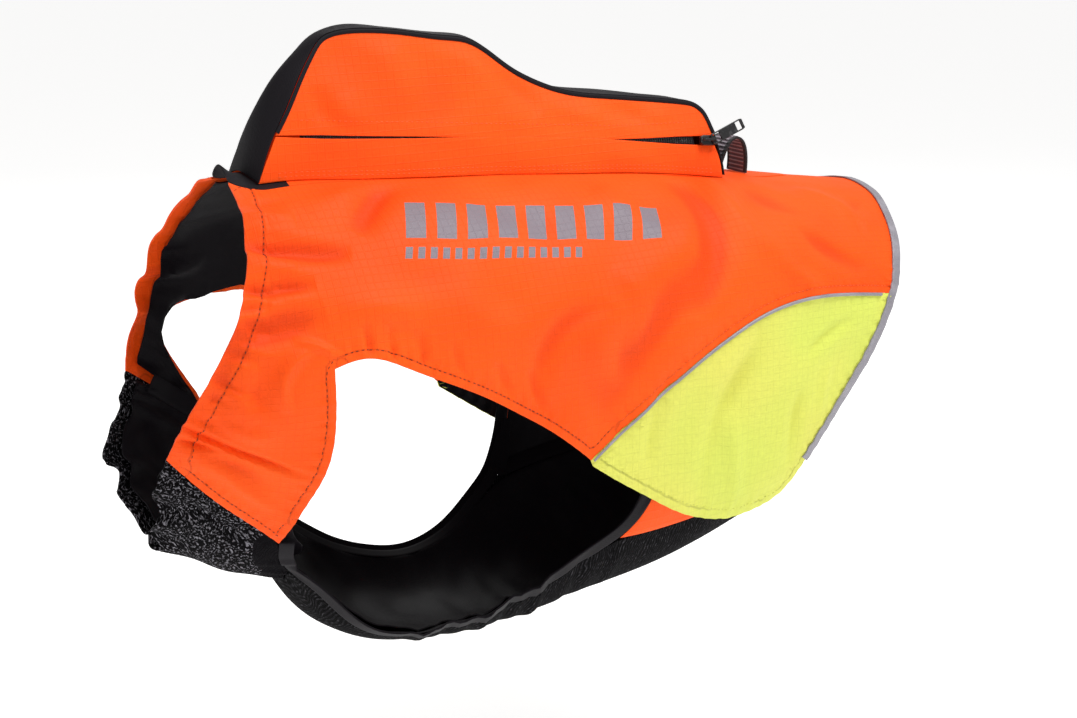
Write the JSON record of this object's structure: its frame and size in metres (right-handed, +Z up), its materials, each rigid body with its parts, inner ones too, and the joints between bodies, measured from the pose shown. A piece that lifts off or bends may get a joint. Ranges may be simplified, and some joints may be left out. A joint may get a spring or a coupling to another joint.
{
  "type": "dog protective vest",
  "caption": "Worn dog vest with a raised zipped pocket on the back, shoulder straps, knit chest and belly panels and hanging rear flaps, in its hollow worn form.",
  "frame": {"origin": "on the inner face of the back panel, in the middle of the back, where the dog's back carries the vest", "axes": "the head end is towards -X, the left flank with the zip faces -Y, and +Z is up from the back"},
  "size_m": [0.5749, 0.2272, 0.4194],
  "materials": {
    "orange_shell": "coated fluorescent orange shell cloth, fine plain weave, low sheen",
    "yellow_shell": "coated high-visibility yellow shell cloth, fine plain weave, low sheen",
    "black_shell": "black shell cloth, matt",
    "black_lining": "smooth black lining, faint sheen",
    "grey_knit": "dark melange cut-resistant knit, matt and slightly hairy",
    "reflective_grey": "grey reflective tape",
    "webbing_grey": "grey and black woven webbing",
    "zip_tape_black": "black woven zip tape",
    "zip_metal": "black lacquered zip metal, worn at its edges"
  },
  "bodies": {
    "vest": {"side_left": "orange_shell", "side_right": "orange_shell", "gusset_left": "orange_shell", "gusset_right": "orange_shell", "pocket_band_left": "orange_shell", "pocket_wall_left": "orange_shell", "pocket_wall_right": "orange_shell", "flap_left": "yellow_shell", "flap_right": "yellow_shell", "back_panel": "black_shell", "pocket_gusset": "black_shell", "lining_left": "black_lining", "lining_right": "black_lining", "chest_lining": "black_lining", "belly_lining": "black_lining", "armhole_band_left": "black_lining", "armhole_band_right": "black_lining", "chest_panel": "grey_knit", "belly_panel": "grey_knit", "piping_left": "reflective_grey", "piping_right": "reflective_grey", "tail_binding": "reflective_grey", "webbing_loop": "webbing_grey", "zip_tape": "zip_tape_black", "zip_slider": "zip_metal"},
    "pull_tab": {"pull_tab": "zip_metal"}
  },
  "joints": [
    {"name": "pull_tab_swing", "type": "hinge", "parent": "vest", "child": "pull_tab", "pos_m": [0.16919, -0.03065, 0.00927], "axis": [0.3351, -0.2834, -0.8986], "range_deg": [0, 145]}
  ]
}
